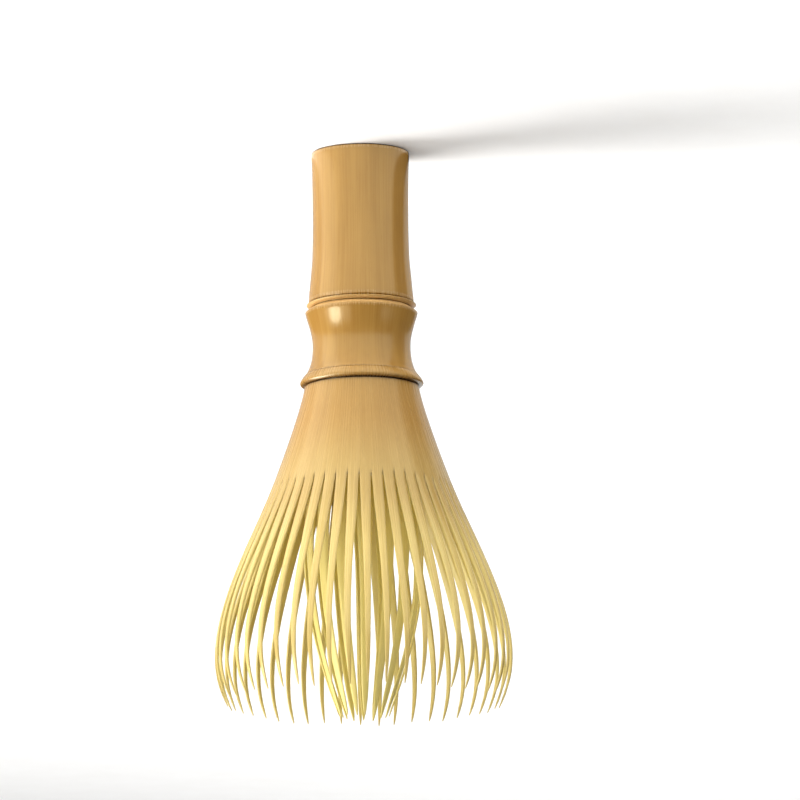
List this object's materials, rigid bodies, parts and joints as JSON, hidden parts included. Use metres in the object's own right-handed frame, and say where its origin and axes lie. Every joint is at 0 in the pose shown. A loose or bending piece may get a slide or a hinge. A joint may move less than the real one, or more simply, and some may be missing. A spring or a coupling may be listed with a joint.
{
  "type": "tea whisk",
  "caption": "Bamboo tea whisk that stands on its hollow handle: a waisted handle with two rings, a flared head, a round basket of thin springy outer tines and a gathered bundle of inner tines.",
  "frame": {"origin": "centre of the handle's open end face, which the whisk stands on", "axes": "+Z along the handle from its end to the tips of the tines; +X through the middle tine of outer group 01"},
  "size_m": [0.083, 0.083, 0.16],
  "materials": {
    "culm": "smooth satin bamboo skin with fine lengthwise fibre",
    "ring": "polished bamboo hoop, satin",
    "head": "pale bamboo, satin, fine lengthwise fibre",
    "dowel": "plain turned wood, matt",
    "hub": "turned bamboo, matt",
    "outer_tine": "split bamboo, pale yellow, satin",
    "inner_tine": "split bamboo, yellow, satin"
  },
  "bodies": {
    "handle": {"handle_culm": "culm", "node_ring": "ring", "waist_culm": "culm", "binding_ring": "ring", "head_skirt": "head", "core_dowel": "dowel", "inner_hub": "hub"},
    "outer_flex_01": {"outer_tines_01": "outer_tine"},
    "outer_flex_02": {"outer_tines_02": "outer_tine"},
    "outer_flex_03": {"outer_tines_03": "outer_tine"},
    "outer_flex_04": {"outer_tines_04": "outer_tine"},
    "outer_flex_05": {"outer_tines_05": "outer_tine"},
    "outer_flex_06": {"outer_tines_06": "outer_tine"},
    "outer_flex_07": {"outer_tines_07": "outer_tine"},
    "outer_flex_08": {"outer_tines_08": "outer_tine"},
    "outer_flex_09": {"outer_tines_09": "outer_tine"},
    "outer_flex_10": {"outer_tines_10": "outer_tine"},
    "outer_flex_11": {"outer_tines_11": "outer_tine"},
    "outer_flex_12": {"outer_tines_12": "outer_tine"},
    "outer_flex_13": {"outer_tines_13": "outer_tine"},
    "outer_flex_14": {"outer_tines_14": "outer_tine"},
    "outer_flex_15": {"outer_tines_15": "outer_tine"},
    "outer_flex_16": {"outer_tines_16": "outer_tine"},
    "inner_flex_1": {"inner_tines_1": "inner_tine"},
    "inner_flex_2": {"inner_tines_2": "inner_tine"},
    "inner_flex_3": {"inner_tines_3": "inner_tine"},
    "inner_flex_4": {"inner_tines_4": "inner_tine"},
    "inner_flex_5": {"inner_tines_5": "inner_tine"},
    "inner_flex_6": {"inner_tines_6": "inner_tine"},
    "inner_flex_7": {"inner_tines_7": "inner_tine"},
    "inner_flex_8": {"inner_tines_8": "inner_tine"}
  },
  "joints": [
    {"name": "outer_bend_01", "type": "hinge", "parent": "handle", "child": "outer_flex_01", "pos_m": [0.02434, 0, 0.09525], "axis": [0, 1, 0], "range_deg": [-5, 7], "stiffness_Nm_per_rad": 0.12},
    {"name": "outer_bend_02", "type": "hinge", "parent": "handle", "child": "outer_flex_02", "pos_m": [0.02249, 0.00932, 0.09525], "axis": [-0.3827, 0.9239, 0], "range_deg": [-5, 7], "stiffness_Nm_per_rad": 0.12},
    {"name": "outer_bend_03", "type": "hinge", "parent": "handle", "child": "outer_flex_03", "pos_m": [0.01721, 0.01721, 0.09525], "axis": [-0.7071, 0.7071, 0], "range_deg": [-5, 7], "stiffness_Nm_per_rad": 0.12},
    {"name": "outer_bend_04", "type": "hinge", "parent": "handle", "child": "outer_flex_04", "pos_m": [0.00932, 0.02249, 0.09525], "axis": [-0.9239, 0.3827, 0], "range_deg": [-5, 7], "stiffness_Nm_per_rad": 0.12},
    {"name": "outer_bend_05", "type": "hinge", "parent": "handle", "child": "outer_flex_05", "pos_m": [0, 0.02434, 0.09525], "axis": [-1, 0, 0], "range_deg": [-5, 7], "stiffness_Nm_per_rad": 0.12},
    {"name": "outer_bend_06", "type": "hinge", "parent": "handle", "child": "outer_flex_06", "pos_m": [-0.00932, 0.02249, 0.09525], "axis": [-0.9239, -0.3827, 0], "range_deg": [-5, 7], "stiffness_Nm_per_rad": 0.12},
    {"name": "outer_bend_07", "type": "hinge", "parent": "handle", "child": "outer_flex_07", "pos_m": [-0.01721, 0.01721, 0.09525], "axis": [-0.7071, -0.7071, 0], "range_deg": [-5, 7], "stiffness_Nm_per_rad": 0.12},
    {"name": "outer_bend_08", "type": "hinge", "parent": "handle", "child": "outer_flex_08", "pos_m": [-0.02249, 0.00932, 0.09525], "axis": [-0.3827, -0.9239, 0], "range_deg": [-5, 7], "stiffness_Nm_per_rad": 0.12},
    {"name": "outer_bend_09", "type": "hinge", "parent": "handle", "child": "outer_flex_09", "pos_m": [-0.02434, 0, 0.09525], "axis": [0, -1, 0], "range_deg": [-5, 7], "stiffness_Nm_per_rad": 0.12},
    {"name": "outer_bend_10", "type": "hinge", "parent": "handle", "child": "outer_flex_10", "pos_m": [-0.02249, -0.00932, 0.09525], "axis": [0.3827, -0.9239, 0], "range_deg": [-5, 7], "stiffness_Nm_per_rad": 0.12},
    {"name": "outer_bend_11", "type": "hinge", "parent": "handle", "child": "outer_flex_11", "pos_m": [-0.01721, -0.01721, 0.09525], "axis": [0.7071, -0.7071, 0], "range_deg": [-5, 7], "stiffness_Nm_per_rad": 0.12},
    {"name": "outer_bend_12", "type": "hinge", "parent": "handle", "child": "outer_flex_12", "pos_m": [-0.00932, -0.02249, 0.09525], "axis": [0.9239, -0.3827, 0], "range_deg": [-5, 7], "stiffness_Nm_per_rad": 0.12},
    {"name": "outer_bend_13", "type": "hinge", "parent": "handle", "child": "outer_flex_13", "pos_m": [0, -0.02434, 0.09525], "axis": [1, 0, 0], "range_deg": [-5, 7], "stiffness_Nm_per_rad": 0.12},
    {"name": "outer_bend_14", "type": "hinge", "parent": "handle", "child": "outer_flex_14", "pos_m": [0.00932, -0.02249, 0.09525], "axis": [0.9239, 0.3827, 0], "range_deg": [-5, 7], "stiffness_Nm_per_rad": 0.12},
    {"name": "outer_bend_15", "type": "hinge", "parent": "handle", "child": "outer_flex_15", "pos_m": [0.01721, -0.01721, 0.09525], "axis": [0.7071, 0.7071, 0], "range_deg": [-5, 7], "stiffness_Nm_per_rad": 0.12},
    {"name": "outer_bend_16", "type": "hinge", "parent": "handle", "child": "outer_flex_16", "pos_m": [0.02249, -0.00932, 0.09525], "axis": [0.3827, 0.9239, 0], "range_deg": [-5, 7], "stiffness_Nm_per_rad": 0.12},
    {"name": "inner_bend_1", "type": "hinge", "parent": "handle", "child": "inner_flex_1", "pos_m": [0.01186, 0.00236, 0.08878], "axis": [-0.1951, 0.9808, 0], "range_deg": [-1, 6], "stiffness_Nm_per_rad": 0.12},
    {"name": "inner_bend_2", "type": "hinge", "parent": "handle", "child": "inner_flex_2", "pos_m": [0.00672, 0.01005, 0.08878], "axis": [-0.8315, 0.5556, 0], "range_deg": [-1, 6], "stiffness_Nm_per_rad": 0.12},
    {"name": "inner_bend_3", "type": "hinge", "parent": "handle", "child": "inner_flex_3", "pos_m": [-0.00236, 0.01186, 0.08878], "axis": [-0.9808, -0.1951, 0], "range_deg": [-1, 6], "stiffness_Nm_per_rad": 0.12},
    {"name": "inner_bend_4", "type": "hinge", "parent": "handle", "child": "inner_flex_4", "pos_m": [-0.01005, 0.00672, 0.08878], "axis": [-0.5556, -0.8315, 0], "range_deg": [-1, 6], "stiffness_Nm_per_rad": 0.12},
    {"name": "inner_bend_5", "type": "hinge", "parent": "handle", "child": "inner_flex_5", "pos_m": [-0.01186, -0.00236, 0.08878], "axis": [0.1951, -0.9808, 0], "range_deg": [-1, 6], "stiffness_Nm_per_rad": 0.12},
    {"name": "inner_bend_6", "type": "hinge", "parent": "handle", "child": "inner_flex_6", "pos_m": [-0.00672, -0.01005, 0.08878], "axis": [0.8315, -0.5556, 0], "range_deg": [-1, 6], "stiffness_Nm_per_rad": 0.12},
    {"name": "inner_bend_7", "type": "hinge", "parent": "handle", "child": "inner_flex_7", "pos_m": [0.00236, -0.01186, 0.08878], "axis": [0.9808, 0.1951, 0], "range_deg": [-1, 6], "stiffness_Nm_per_rad": 0.12},
    {"name": "inner_bend_8", "type": "hinge", "parent": "handle", "child": "inner_flex_8", "pos_m": [0.01005, -0.00672, 0.08878], "axis": [0.5556, 0.8315, 0], "range_deg": [-1, 6], "stiffness_Nm_per_rad": 0.12}
  ]
}
